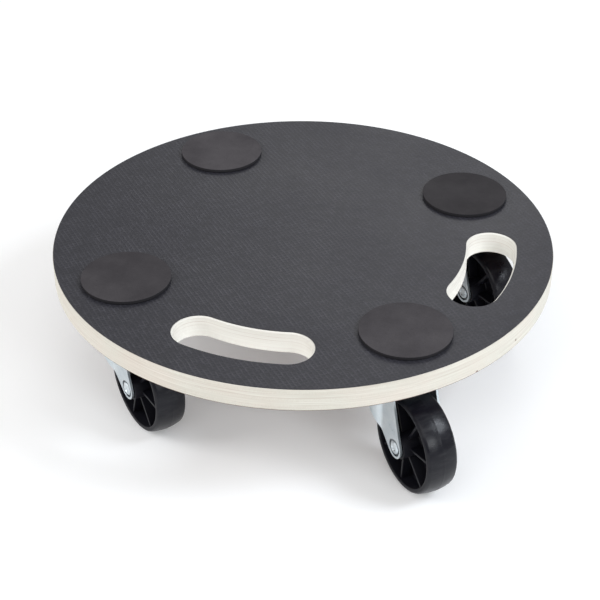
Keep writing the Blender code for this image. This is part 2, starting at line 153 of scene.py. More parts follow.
# Reach of the painted shade in the groove round each axle head
DISH_SHADE_ON_HEAD = 0.0012
DISH_SHADE_PAST_DIMPLE = 0.0006
DISH_SHADE_DEEP = 0.0005
DISH_SHADE_SHALLOW = 0.00005
SLEEVE_RADIUS = 0.006
WHEEL_RADIUS = 0.040
WHEEL_HALF_WIDTH = 0.0133
TRAIL = 0.031
RIM_LIP_RADIUS = 0.0342
RIM_FLOOR_RADIUS = 0.0334
LIP_HALF_WIDTH = 0.0122
TREAD_CROWN = 0.0022
TREAD_FADE = 0.0012
CROWN_STATIONS = (0.76, 0.66, 0.56, 0.46, 0.36, 0.26, 0.16)
SHOULDER_FILLET = 0.0027
PARTING_HALF_WIDTH = 0.00015
PARTING_HEIGHT = 0.00008
WEB_HALF = 0.0015
HUB_BORE = 0.0063
HUB_END_RADIUS = 0.0098
HUB_ROOT_RADIUS = 0.0108
HUB_HALF_LENGTH = 0.0165
RIB_COUNT = 7
RIB_HALF_THICKNESS = 0.001
RIB_HALF_HEIGHT = 0.0105
RIB_EDGE = 0.00035
RIB_ANGLES = {"front_right": -42.0, "back_right": -51.0, "back_left": -20.0, "front_left": -55.0}

# Facets and smoothing
DECK_SEGMENTS = 288
PAD_SEGMENTS = 128
WHEEL_SEGMENTS = 112
HEAD_SEGMENTS = 96
TURNED_SEGMENTS = 64
SCREW_HEAD_SEGMENTS = 40
AXLE_HOLE_SEGMENTS = 32
BALL_SEGMENTS = 28
BALL_ROWS = 18
PLATE_HOLE_SEGMENTS = 24
THREAD_SEGMENTS = 24
THREAD_ROWS_PER_PITCH = 8.0
SLOT_OUTER_STEPS = 32
SLOT_STEPS = 28
BOSS_STEPS = 40
LEG_CORNER_STEPS = 10
FILLET_STEPS = 4
ROUNDING_STEPS = 4
ROUNDING_SWEEP = radians(80.0)
BEVEL_STEPS = 2
MERGE_DISTANCE = 1e-6
SMOOTH_ANGLE = radians(32.0)


# Outlines

def arc(centre, radius, start, end, steps):
    points = []
    for step in range(steps + 1):
        angle = start + (end - start) * step / steps
        points.append((centre[0] + radius * cos(angle), centre[1] + radius * sin(angle)))
    return points


def circle(radius, steps):
    return arc((0.0, 0.0), radius, 0.0, 2.0 * pi, steps)[:-1]


def rounded(corners):
    """Closed outline from (x, y, fillet radius) corners; a fillet of 0 stays sharp."""
    outline = []
    for index, (x, y, radius) in enumerate(corners):
        corner = Vector((x, y))
        if radius == 0.0:
            outline.append((x, y))
            continue
        before = (Vector(corners[index - 1][:2]) - corner).normalized()
        after = (Vector(corners[(index + 1) % len(corners)][:2]) - corner).normalized()
        half = before.angle(after) / 2.0
        centre = corner + (before + after).normalized() * (radius / sin(half))
        start = corner + before * (radius / tan(half)) - centre
        end = corner + after * (radius / tan(half)) - centre
        first = atan2(start.y, start.x)
        sweep = (atan2(end.y, end.x) - first + pi) % (2.0 * pi) - pi
        outline += arc(centre, radius, first, first + sweep, FILLET_STEPS)
    return outline


def slot_outline(azimuth, growth):
    """Kidney-shaped hand slot: two arcs about the deck's centre and two round ends."""
    half = SLOT_WIDTH / 2.0 + growth
    first = azimuth - SLOT_HALF_SPAN
    last = azimuth + SLOT_HALF_SPAN
    last_centre = (SLOT_RADIUS * cos(last), SLOT_RADIUS * sin(last))
    first_centre = (SLOT_RADIUS * cos(first), SLOT_RADIUS * sin(first))
    outline = arc((0.0, 0.0), SLOT_RADIUS + half, first, last, SLOT_OUTER_STEPS)
    outline += arc(last_centre, half, last, last + pi, SLOT_STEPS)[1:]
    outline += arc((0.0, 0.0), SLOT_RADIUS - half, last, first, SLOT_STEPS)[1:]
    outline += arc(first_centre, half, first + pi, first + 2.0 * pi, SLOT_STEPS)[1:-1]
    return outline


# Meshes

def mesh_from(vertices, faces):
    """A mesh with its faces turned to agree with one another."""
    mesh = bpy.data.meshes.new("shape")
    mesh.from_pydata(vertices, [], faces)
    work = bmesh.new()
    work.from_mesh(mesh)
    bmesh.ops.recalc_face_normals(work, faces=work.faces)
    work.to_mesh(mesh)
    work.free()
    return mesh


def turned(profile, segments=TURNED_SEGMENTS):
    """Closed solid of revolution about z from a closed outline of (radius, height)."""
    vertices = []
    rings = []
    for radius, height in profile:
        if radius == 0.0:
            rings.append([len(vertices)] * segments)
            vertices.append((0.0, 0.0, height))
            continue
        rings.append(list(range(len(vertices), len(vertices) + segments)))
        for step in range(segments):
            angle = 2.0 * pi * step / segments
            vertices.append((radius * cos(angle), radius * sin(angle), height))
    faces = []
    for index, lower in enumerate(rings):
        upper = rings[(index + 1) % len(rings)]
        for step in range(segments):
            after = (step + 1) % segments
            face = list(dict.fromkeys([lower[step], lower[after], upper[after], upper[step]]))
            if len(face) > 2:
                faces.append(face)
    return mesh_from(vertices, faces)


def prism(outline, bottom, top):
    """Closed solid between two levels from a closed outline of (x, y)."""
    count = len(outline)
    vertices = [(x, y, bottom) for x, y in outline] + [(x, y, top) for x, y in outline]
    faces = [list(range(count)), list(range(count, 2 * count))]
    for index in range(count):
        after = (index + 1) % count
        faces.append([index, after, count + after, count + index])
    return mesh_from(vertices, faces)


def stacked(rings):
    """Closed solid through a stack of rings with the same number of points."""
    count = len(rings[0])
    vertices = [point for ring in rings for point in ring]
    last = len(vertices) - count
    faces = [list(range(count)), list(range(last, last + count))]
    for start in range(0, last, count):
        for step in range(count):
            after = (step + 1) % count
            faces.append([start + step, start + after, start + count + after, start + count + step])
    return mesh_from(vertices, faces)


def box(lowest, highest):
    outline = [(lowest[0], lowest[1]), (highest[0], lowest[1]),
               (highest[0], highest[1]), (lowest[0], highest[1])]
    return prism(outline, lowest[2], highest[2])


def plate(outlines, bottom, top, arris):
    """Flat sheet whose first outline is its edge and the rest are holes, with every edge rounded."""
    curve = bpy.data.curves.new("sheet", "CURVE")
    curve.dimensions = "2D"
    curve.fill_mode = "BOTH"
    curve.extrude = (top - bottom) / 2.0 - arris
    curve.bevel_depth = arris
    curve.bevel_resolution = BEVEL_STEPS
    curve.offset = -arris
    for outline in outlines:
        spline = curve.splines.new("POLY")
        spline.points.add(len(outline) - 1)
        for point, (x, y) in zip(spline.points, outline):
            point.co = (x, y, 0.0, 1.0)
        spline.use_cyclic_u = True
    holder = bpy.data.objects.new("sheet", curve)
    bpy.context.scene.collection.objects.link(holder)
    bpy.context.view_layer.update()
    mesh = bpy.data.meshes.new_from_object(holder.evaluated_get(bpy.context.evaluated_depsgraph_get()))
    bpy.data.objects.remove(holder, do_unlink=True)
    work = bmesh.new()
    work.from_mesh(mesh)
    bmesh.ops.remove_doubles(work, verts=work.verts, dist=MERGE_DISTANCE)
    bmesh.ops.recalc_face_normals(work, faces=work.faces)
    work.to_mesh(mesh)
    work.free()
    return moved(mesh, Matrix.Translation((0.0, 0.0, (bottom + top) / 2.0)))


def moved(mesh, matrix):
    mesh.transform(matrix)
    return mesh


def joined(meshes):
    work = bmesh.new()
    for mesh in meshes:
        work.from_mesh(mesh)
    result = bpy.data.meshes.new("joined")
    work.to_mesh(result)
    work.free()
    return result


def evaluated(mesh, add_modifiers):
    """The mesh after the modifiers that a function puts on its object."""
    holder = bpy.data.objects.new("working", mesh)
    bpy.context.scene.collection.objects.link(holder)
    add_modifiers(holder)
    bpy.context.view_layer.update()
    result = bpy.data.meshes.new_from_object(holder.evaluated_get(bpy.context.evaluated_depsgraph_get()))
    bpy.data.objects.remove(holder, do_unlink=True)
    return result


def combined(mesh, other, operation):
    tool = bpy.data.objects.new("tool", other)
    bpy.context.scene.collection.objects.link(tool)

    def add_boolean(holder):
        modifier = holder.modifiers.new("boolean", "BOOLEAN")
        modifier.operation = operation
        modifier.solver = "EXACT"
        modifier.object = tool

    result = evaluated(mesh, add_boolean)
    bpy.data.objects.remove(tool, do_unlink=True)
    return result


def with_soft_edges(mesh, width, sharper_than):
    """The mesh with a small round along every edge that is sharper than an angle."""
    def add_bevel(holder):
        modifier = holder.modifiers.new("bevel", "BEVEL")
        modifier.width = width
        modifier.segments = BEVEL_STEPS
        modifier.limit_method = "ANGLE"
        modifier.angle_limit = sharper_than
        modifier.use_clamp_overlap = True

    return evaluated(mesh, add_bevel)


def with_even_shading(mesh):
    """Smooth shading in which the large faces stay flat and the small ones turn the corner."""
    def add_weighted_normals(holder):
        modifier = holder.modifiers.new("even", "WEIGHTED_NORMAL")
        modifier.keep_sharp = True

    mesh.shade_smooth()
    mesh.set_sharp_from_angle(angle=SMOOTH_ANGLE)
    return evaluated(mesh, add_weighted_normals)


# Placing

def show(name, mesh, material, body, node, matrix=None):
    """A visible piece that stands for one CAD node and rides on its body."""
    mesh.materials.clear()
    mesh.materials.append(material)
    piece = bpy.data.objects.new(name, with_even_shading(mesh))
    bpy.context.scene.collection.objects.link(piece)
    if matrix is not None:
        piece.matrix_world = matrix
    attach(piece, body)
    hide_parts(node)


def joint(name):
    return next(found for found in frame["joints"] if found["name"] == name)


def caster_matrix(station, azimuth):
    x, y, _ = joint(f"swivel_{station}")["pos_m"]
    return Matrix.Translation((x, y, 0.0)) @ Matrix.Rotation(azimuth, 4, "Z")


def trail_azimuth(station):
    swivel = joint(f"swivel_{station}")["pos_m"]
    axle = joint(f"wheel_spin_{station}")["pos_m"]
    return atan2(axle[1] - swivel[1], axle[0] - swivel[0])


def mounting_azimuth(station):
    x, y, _ = joint(f"swivel_{station}")["pos_m"]
    return atan2(y, x)


# Deck pieces

def slot_cutter(azimuth, low, high):
    """Solid that routs a hand slot and rounds over its upper and lower edges."""
    edge = []
    for step in range(ROUNDING_STEPS + 1):
        turn = ROUNDING_SWEEP * step / ROUNDING_STEPS
        edge.append((SLOT_ROUNDING * (1.0 - cos(turn)), SLOT_ROUNDING * (1.0 - sin(turn))))
    growth, depth = edge[-1]
    edge.append((growth + (depth + SLOT_ROUNDING) * tan(ROUNDING_SWEEP), -SLOT_ROUNDING))
    wall = [(low + depth, growth) for growth, depth in reversed(edge)]
    wall += [(high - depth, growth) for growth, depth in edge]
    return stacked([[(x, y, height) for x, y in slot_outline(azimuth, growth)] for height, growth in wall])


def board_mesh():
    low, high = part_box("deck_plywood")
    board = plate([circle(high.x, DECK_SEGMENTS)], low.z, high.z, ARRIS)
    for azimuth in SLOT_AZIMUTHS:
        board = combined(board, slot_cutter(azimuth, low.z, high.z), "DIFFERENCE")
    return board


def film_mesh(node):
    low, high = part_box(node)
    outlines = [circle(high.x - FILM_SETBACK, DECK_SEGMENTS)]
    outlines += [slot_outline(azimuth, SLOT_FILM_SETBACK) for azimuth in SLOT_AZIMUTHS]
    return plate(outlines, low.z, high.z, FILM_ARRIS)


def pad_mesh():
    low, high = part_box("pad_front_right")
    radius = (high.x - low.x) / 2.0
    thickness = high.z - low.z
    corners = [(0.0, 0.0, 0.0), (radius - PAD_UNDERCUT, 0.0, 0.0),
               (radius, PAD_UNDERCUT, FINE_FILLET), (radius, thickness, PAD_RIM)]
    corners += [(radius * share, thickness, 0.0) for share in PAD_SHADING_RINGS]
    corners.append((0.0, thickness, 0.0))
    return turned(rounded(corners), PAD_SEGMENTS)


# Caster pieces, each in the caster's own frame

def levels():
    """Heights that the caster's CAD pieces stand at."""
    plate_low, plate_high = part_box("top_plate_front_right")
    upper_low, upper_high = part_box("upper_balls_front_right")
    lower_low, lower_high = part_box("lower_balls_front_right")
    race_low, race_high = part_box("lower_race_front_right")
    head_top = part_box("fork_front_right")[1].z
    pin_low, pin_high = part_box("kingpin_front_right")
    return {
        "dish_bottom": plate_low.z, "plate_top": plate_high.z,
        "upper_balls": (upper_low.z + upper_high.z) / 2.0,
        "lower_balls": (lower_low.z + lower_high.z) / 2.0,
        "floor_top": upper_low.z - BORE_CLEARANCE,
        "floor_bottom": lower_high.z + BORE_CLEARANCE,
        "race_bottom": race_low.z, "race_rim": race_high.z,
        "head_top": head_top,
        "pin_bottom": pin_low.z, "pin_top": pin_high.z,
    }


def top_plate_mesh(at):
    bottom = at["plate_top"] - PLATE_SHEET
    side = PLATE_HALF
    corner = PLATE_CORNER
    square = rounded([(side, side, corner), (-side, side, corner),
                      (-side, -side, corner), (side, -side, corner)])
    mouth = DISH_MOUTH_RADIUS - DISH_WALL_STEP / 2.0
    outlines = [square, circle(mouth, TURNED_SEGMENTS)]
    for x in (-HOLE_PITCH_HALF, HOLE_PITCH_HALF):
        for y in (-HOLE_PITCH_HALF, HOLE_PITCH_HALF):
            outlines.append(arc((x, y), PLATE_HOLE_RADIUS, 0.0, 2.0 * pi, PLATE_HOLE_SEGMENTS)[:-1])
    sheet = plate(outlines, bottom, at["plate_top"], SHEET_ARRIS)
    bore = KINGPIN_RADIUS + BORE_CLEARANCE
    dish = turned(rounded([
        (bore, at["dish_bottom"], FINE_FILLET),
        (DISH_FLOOR_RADIUS, at["dish_bottom"], 0.0016),
        (DISH_MOUTH_RADIUS, bottom, 0.0008),
        (DISH_MOUTH_RADIUS, at["plate_top"], FINE_FILLET),
        (DISH_MOUTH_RADIUS - DISH_WALL_STEP, at["plate_top"], 0.0004),
        (DISH_FLOOR_RADIUS - DISH_WALL_STEP, at["dish_bottom"] + PLATE_SHEET, 0.0008),
        (bore, at["dish_bottom"] + PLATE_SHEET, FINE_FILLET),
    ]))
    return combined(sheet, dish, "UNION")


def kingpin_mesh(at):
    tail_top = at["pin_bottom"] + KINGPIN_TAIL_HEIGHT
    head_bottom = at["pin_top"] - KINGPIN_HEAD_HEIGHT
    return turned(rounded([
        (0.0, at["pin_bottom"], 0.0),
        (KINGPIN_TAIL_RADIUS, at["pin_bottom"], 0.0014),
        (KINGPIN_TAIL_RADIUS, tail_top, FINE_FILLET),
        (KINGPIN_RADIUS, tail_top, 0.0002),
        (KINGPIN_RADIUS, head_bottom, 0.0002),
        (KINGPIN_HEAD_RADIUS, head_bottom, FINE_FILLET),
        (KINGPIN_HEAD_RADIUS, at["pin_top"], 0.0009),
        (0.0, at["pin_top"], 0.0),
    ]))


def lower_race_mesh(at):
    bore = KINGPIN_RADIUS + BORE_CLEARANCE
    floor = at["race_bottom"] + RACE_SHEET
    return turned(rounded([
        (bore, at["race_bottom"], FINE_FILLET),
        (RACE_RADIUS, at["race_bottom"], 0.0011),
        (RACE_RADIUS, at["race_rim"], 0.0004),
        (RACE_RIM_INNER, at["race_rim"], 0.0004),
        (RACE_RIM_INNER, floor, 0.0006),
        (bore, floor, FINE_FILLET),
    ]))


def ball_ring_mesh():
    """Balls pressed into a flat cage ring, about the ring's own centre."""
    inner = BALL_RING_RADIUS - CAGE_HALF_WIDTH
    outer = BALL_RING_RADIUS + CAGE_HALF_WIDTH
    cage = turned(rounded([
        (inner, -CAGE_HALF_SHEET, CAGE_EDGE), (outer, -CAGE_HALF_SHEET, CAGE_EDGE),
        (outer, CAGE_HALF_SHEET, CAGE_EDGE), (inner, CAGE_HALF_SHEET, CAGE_EDGE),
    ]))
    balls = []
    for number in range(BALLS_IN_RING):
        angle = 2.0 * pi * number / BALLS_IN_RING
        work = bmesh.new()
        bmesh.ops.create_uvsphere(work, u_segments=BALL_SEGMENTS, v_segments=BALL_ROWS, radius=BALL_RADIUS)
        ball = bpy.data.meshes.new("ball")
        work.to_mesh(ball)
        work.free()
        place = Matrix.Translation((BALL_RING_RADIUS * cos(angle), BALL_RING_RADIUS * sin(angle), 0.0))
        balls.append(moved(ball, place))
    return combined(cage, joined(balls), "UNION")


def axle_turn(mesh):
    """Lay a solid turned about z along the axle, with its low end on the -y side."""
    lay_down = Matrix.Rotation(-pi / 2.0, 4, "X")
    return moved(mesh, Matrix.Translation((TRAIL, 0.0, WHEEL_RADIUS)) @ lay_down)


def tangent_angle(point, side):
    """Direction from the boss centre to where a line from the point touches the boss."""
    reach_x = point[0] - TRAIL
    reach_z = point[1] - WHEEL_RADIUS
    spread = acos(BOSS_RADIUS / hypot(reach_x, reach_z))
    return atan2(reach_z, reach_x) + side * spread


def fork_side_outline(top):
    """Side view of the fork as (x, z): round boss, raked front edge, sloping rear edge."""
    front_low = (-HEAD_RADIUS - BORE_CLEARANCE, SKIRT_FRONT_HEIGHT)
    rear_high = (HEAD_RADIUS, top + BORE_CLEARANCE)
    start = tangent_angle(front_low, 1.0)
    end = tangent_angle(rear_high, -1.0) + 2.0 * pi
    boss = arc((TRAIL, WHEEL_RADIUS), BOSS_RADIUS, start, end, BOSS_STEPS)
    return [front_low] + boss + [rear_high, (front_low[0], rear_high[1])]


def leg_corner_outline():
    """Plan of the web that rounds the hollow corner where the head runs into a leg."""
    middle_y = LEG_OUTER + LEG_CORNER
    middle_x = ((HEAD_RADIUS + LEG_CORNER) ** 2 - middle_y ** 2) ** 0.5
    reach = LEG_CORNER + LEG_CORNER_BITE
    start = atan2(-middle_y, -middle_x)
    outline = arc((middle_x, middle_y), reach, start, -pi / 2.0, LEG_CORNER_STEPS)
    within = (HEAD_RADIUS - FORK_SHEET / 2.0) / (HEAD_RADIUS + LEG_CORNER)
    return outline + [(middle_x, LEG_OUTER - FORK_SHEET / 2.0), (middle_x * within, middle_y * within)]


def fork_mesh(at):
    """Head turned about the swivel with its skirt cut to the side view, and two legs for the axle."""
    top = at["head_top"]
    inner = HEAD_RADIUS - FORK_SHEET
    leg_inner = LEG_OUTER - FORK_SHEET
    groove = RECESS_RADIUS + RECESS_WALL
    skirt_bottom = WHEEL_RADIUS
    fork = turned(rounded([
        (HEAD_RADIUS, skirt_bottom, 0.0),
        (HEAD_RADIUS, top, 0.0022),
        (RECESS_RADIUS, top, 0.0007),
        (RECESS_RADIUS, at["floor_top"], 0.0006),
        (FORK_BORE, at["floor_top"], FINE_FILLET),
        (FORK_BORE, at["floor_bottom"], FINE_FILLET),
        (groove, at["floor_bottom"], 0.0009),
        (groove, top - FORK_SHEET, 0.0006),
        (inner, top - FORK_SHEET, 0.0010),
        (inner, skirt_bottom, 0.0),
    ]), HEAD_SEGMENTS)
    leg_start = inner * cos(asin(leg_inner / inner)) + BORE_CLEARANCE
    leg_end = TRAIL + 2.0 * BOSS_RADIUS
    floor = WHEEL_RADIUS - 2.0 * BOSS_RADIUS
    for side in (-1.0, 1.0):
        across = sorted((side * leg_inner, side * LEG_OUTER))
        leg = box((leg_start, across[0], floor), (leg_end, across[1], LEG_TOP))
        fork = combined(fork, leg, "UNION")
        web = [(x, side * y) for x, y in leg_corner_outline()]
        fork = combined(fork, prism(web, floor, LEG_TOP - BORE_CLEARANCE), "UNION")
    side_view = prism(fork_side_outline(top), -2.0 * HEAD_RADIUS, 2.0 * HEAD_RADIUS)
    stand_up = Matrix.Rotation(pi / 2.0, 4, "X")
    fork = combined(fork, moved(side_view, stand_up), "INTERSECT")
    wheel_way = box((0.0, -leg_inner, 0.0), (leg_end, leg_inner, REAR_LIP_HEIGHT))
    fork = combined(fork, wheel_way, "DIFFERENCE")
    hole_edge = circle(AXLE_RADIUS + BORE_CLEARANCE, AXLE_HOLE_SEGMENTS)
    axle_hole = prism(hole_edge, -2.0 * LEG_OUTER, 2.0 * LEG_OUTER)
    fork = combined(fork, axle_turn(axle_hole), "DIFFERENCE")
    dimple_floor = LEG_OUTER - DIMPLE_DEPTH
    for side in (-1.0, 1.0):
        dimple = turned(rounded([(0.0, side * dimple_floor, 0.0),
                                 (DIMPLE_RADIUS - DIMPLE_WALL, side * dimple_floor, 0.0004),
                                 (DIMPLE_RADIUS + DIMPLE_WALL, side * (LEG_OUTER + DIMPLE_DEPTH), 0.0),
                                 (0.0, side * (LEG_OUTER + DIMPLE_DEPTH), 0.0)]))
        fork = combined(fork, axle_turn(dimple), "DIFFERENCE")
    return with_soft_edges(fork, FORK_EDGE, FORK_EDGE_ANGLE)


def axle_mesh():
    """Riveted axle: a shank with a domed head, dished in its middle, in each leg's dimple."""
    seat = LEG_OUTER - DIMPLE_DEPTH + BORE_CLEARANCE
    crown = seat + AXLE_HEAD_HEIGHT
    half = [(AXLE_RADIUS, seat, 0.0002), (AXLE_HEAD_RADIUS, seat, 0.0002),
            (AXLE_HEAD_RADIUS, crown - AXLE_HEAD_DOME, 0.0006), (AXLE_CROWN_RADIUS, crown, 0.0008),
            (AXLE_DISH_RADIUS, crown, FINE_FILLET),
            (AXLE_DISH_FLOOR_RADIUS, crown - AXLE_DISH_DEPTH, 0.0004), (0.0, crown - AXLE_DISH_DEPTH, 0.0)]
    mirrored = [(radius, -height, fillet) for radius, height, fillet in reversed(half)]
    return axle_turn(turned(rounded(half + mirrored)))


def sleeve_mesh():
    bore = AXLE_RADIUS + BORE_CLEARANCE
    reach = LEG_OUTER - FORK_SHEET - BORE_CLEARANCE
    corners = ((bore, -reach), (SLEEVE_RADIUS, -reach), (SLEEVE_RADIUS, reach), (bore, reach))
    return axle_turn(turned(rounded([(radius, height, FINE_FILLET) for radius, height in corners])))


def wheel_mesh(rib_angle):
    """Wheel about z, centred on the origin: crowned tread, parting line, lipped rim, web, ribs, hub."""
    half = [
        (HUB_BORE, HUB_HALF_LENGTH, FINE_FILLET),
        (HUB_END_RADIUS, HUB_HALF_LENGTH, 0.0006),
        (HUB_ROOT_RADIUS, WEB_HALF, 0.0012),
        (RIM_FLOOR_RADIUS, WEB_HALF, 0.0012),
        (RIM_LIP_RADIUS, LIP_HALF_WIDTH, 0.0005),
        (WHEEL_RADIUS - TREAD_CROWN, WHEEL_HALF_WIDTH, SHOULDER_FILLET),
    ]
    for share in CROWN_STATIONS:
        drop = PARTING_HEIGHT + (TREAD_CROWN - PARTING_HEIGHT) * share ** 2
        half.append((WHEEL_RADIUS - drop, WHEEL_HALF_WIDTH * share, 0.0))
    half.append((WHEEL_RADIUS - PARTING_HEIGHT, 2.0 * PARTING_HALF_WIDTH, 0.0))
    ridge = [(WHEEL_RADIUS, PARTING_HALF_WIDTH, 0.0), (WHEEL_RADIUS, -PARTING_HALF_WIDTH, 0.0)]
    mirrored = [(radius, -height, fillet) for radius, height, fillet in reversed(half)]
    body = turned(rounded(half + ridge + mirrored), WHEEL_SEGMENTS)
    inner_end = (HUB_BORE + HUB_END_RADIUS) / 2.0
    outer_end = (RIM_LIP_RADIUS + WHEEL_RADIUS) / 2.0
    section = rounded([(RIB_HALF_THICKNESS, RIB_HALF_HEIGHT, RIB_EDGE),
                       (-RIB_HALF_THICKNESS, RIB_HALF_HEIGHT, RIB_EDGE),
                       (-RIB_HALF_THICKNESS, -RIB_HALF_HEIGHT, RIB_EDGE),
                       (RIB_HALF_THICKNESS, -RIB_HALF_HEIGHT, RIB_EDGE)])
    point_out = Matrix(((0.0, 0.0, 1.0), (1.0, 0.0, 0.0), (0.0, 1.0, 0.0))).to_4x4()
    for number in range(RIB_COUNT):
        rib = moved(prism(section, inner_end, outer_end), point_out)
        turn = Matrix.Rotation(rib_angle + 2.0 * pi * number / RIB_COUNT, 4, "Z")
        body = combined(body, moved(rib, turn), "UNION")
    return body


def screw_mesh(low, high):
    """Pan head wood screw: domed head with a cross recess, and a threaded shank with a point."""
    seat = low + SCREW_HEAD_HEIGHT
    segments = THREAD_SEGMENTS
    rows = int((high - seat) / (THREAD_PITCH / THREAD_ROWS_PER_PITCH))
    vertices = [(0.0, 0.0, seat)]
    for row in range(rows):
        height = seat + (high - seat) * row / rows
        taper = min(1.0, (high - height) / SCREW_POINT)
        for step in range(segments):
            phase = ((height - seat) / THREAD_PITCH - step / segments) % 1.0
            crest = max(0.0, 1.0 - abs(phase - 0.5) * THREAD_STEEPNESS)
            radius = (SCREW_RADIUS - THREAD_DEPTH + THREAD_DEPTH * crest) * taper
            angle = 2.0 * pi * step / segments
            vertices.append((radius * cos(angle), radius * sin(angle), height))
    vertices.append((0.0, 0.0, high))
    faces = []
    for step in range(segments):
        after = (step + 1) % segments
        faces.append([0, 1 + after, 1 + step])
        for row in range(rows - 1):
            start = 1 + row * segments
            faces.append([start + step, start + after, start + segments + after, start + segments + step])
        last = 1 + (rows - 1) * segments
        faces.append([last + step, last + after, len(vertices) - 1])
    shank = mesh_from(vertices, faces)
    head = turned(rounded([
        (0.0, low, 0.0), (SCREW_CROWN_RADIUS, low + SCREW_CROWN_DROP, 0.0005),
        (SCREW_HEAD_RADIUS, low + SCREW_HEAD_EDGE, 0.0006),
        (SCREW_HEAD_RADIUS, seat, 0.0002), (0.0, seat, 0.0),
    ]), SCREW_HEAD_SEGMENTS)
    for along, across in ((CROSS_REACH, CROSS_HALF_WIDTH), (CROSS_HALF_WIDTH, CROSS_REACH)):
        cross = box((-along, -across, low - CROSS_OVERSHOOT), (along, across, low + CROSS_DEPTH))
        head = combined(head, cross, "DIFFERENCE")
    return joined([head, moved(shank, Matrix.Translation((0.0, 0.0, SHANK_GAP)))])


# Materials

class Surface:
    """Short calls for building one material's node tree; a socket named _0 is taken by its number."""

    def __init__(self, name, **sockets):
        self.material = bpy.data.materials.new(name)
        self.material.use_nodes = True
        self.tree = self.material.node_tree
        self.shader = self.tree.nodes["Principled BSDF"]
        self.set(self.shader, sockets)
        coordinates = self.tree.nodes.new("ShaderNodeTexCoord")
        self.place = coordinates.outputs["Object"]

    def set(self, node, sockets):
        for label, value in sockets.items():
            socket = node.inputs[int(label[1:])] if label[0] == "_" else node.inputs[label.replace("_", " ")]
            if isinstance(value, bpy.types.NodeSocket):
                self.tree.links.new(value, socket)
            elif isinstance(value, tuple) and len(value) == 3 and socket.type == "RGBA":
                socket.default_value = (*value, 1.0)
            else:
                socket.default_value = value

    def add(self, kind, settings=None, **sockets):
        node = self.tree.nodes.new(kind)
        for label, value in (settings or {}).items():
            setattr(node, label, value)
        self.set(node, sockets)
        return node

    def maths(self, operation, first, second=0.0, third=0.0):
        node = self.add("ShaderNodeMath", {"operation": operation}, _0=first, _1=second, _2=third)
        return node.outputs[0]

    def noise(self, scale, detail=3.0, roughness=0.5, stretch=None):
        source = self.place
        if stretch is not None:
            mapping = self.add("ShaderNodeMapping", Vector=source, Scale=stretch)
            source = mapping.outputs[0]
        node = self.add("ShaderNodeTexNoise", Vector=source, Scale=scale, Detail=detail, Roughness=roughness)
        return node.outputs["Fac"]

    def span(self, value, low, high, to_low, to_high):
        node = self.add("ShaderNodeMapRange", {"clamp": True}, Value=value, From_Min=low, From_Max=high,
                        To_Min=to_low, To_Max=to_high)
        return node.outputs[0]

    def blend(self, share, first, second, mode="MIX"):
        node = self.add("ShaderNodeMix", {"data_type": "RGBA", "blend_type": mode},
                        _0=share, _6=first, _7=second)
        return node.outputs[2]

    def bump(self, height, distance, strength):
        node = self.add("ShaderNodeBump", Height=height, Distance=distance, Strength=strength)
        return node.outputs[0]

    def finish(self, **sockets):
        self.set(self.shader, sockets)
        return self.material


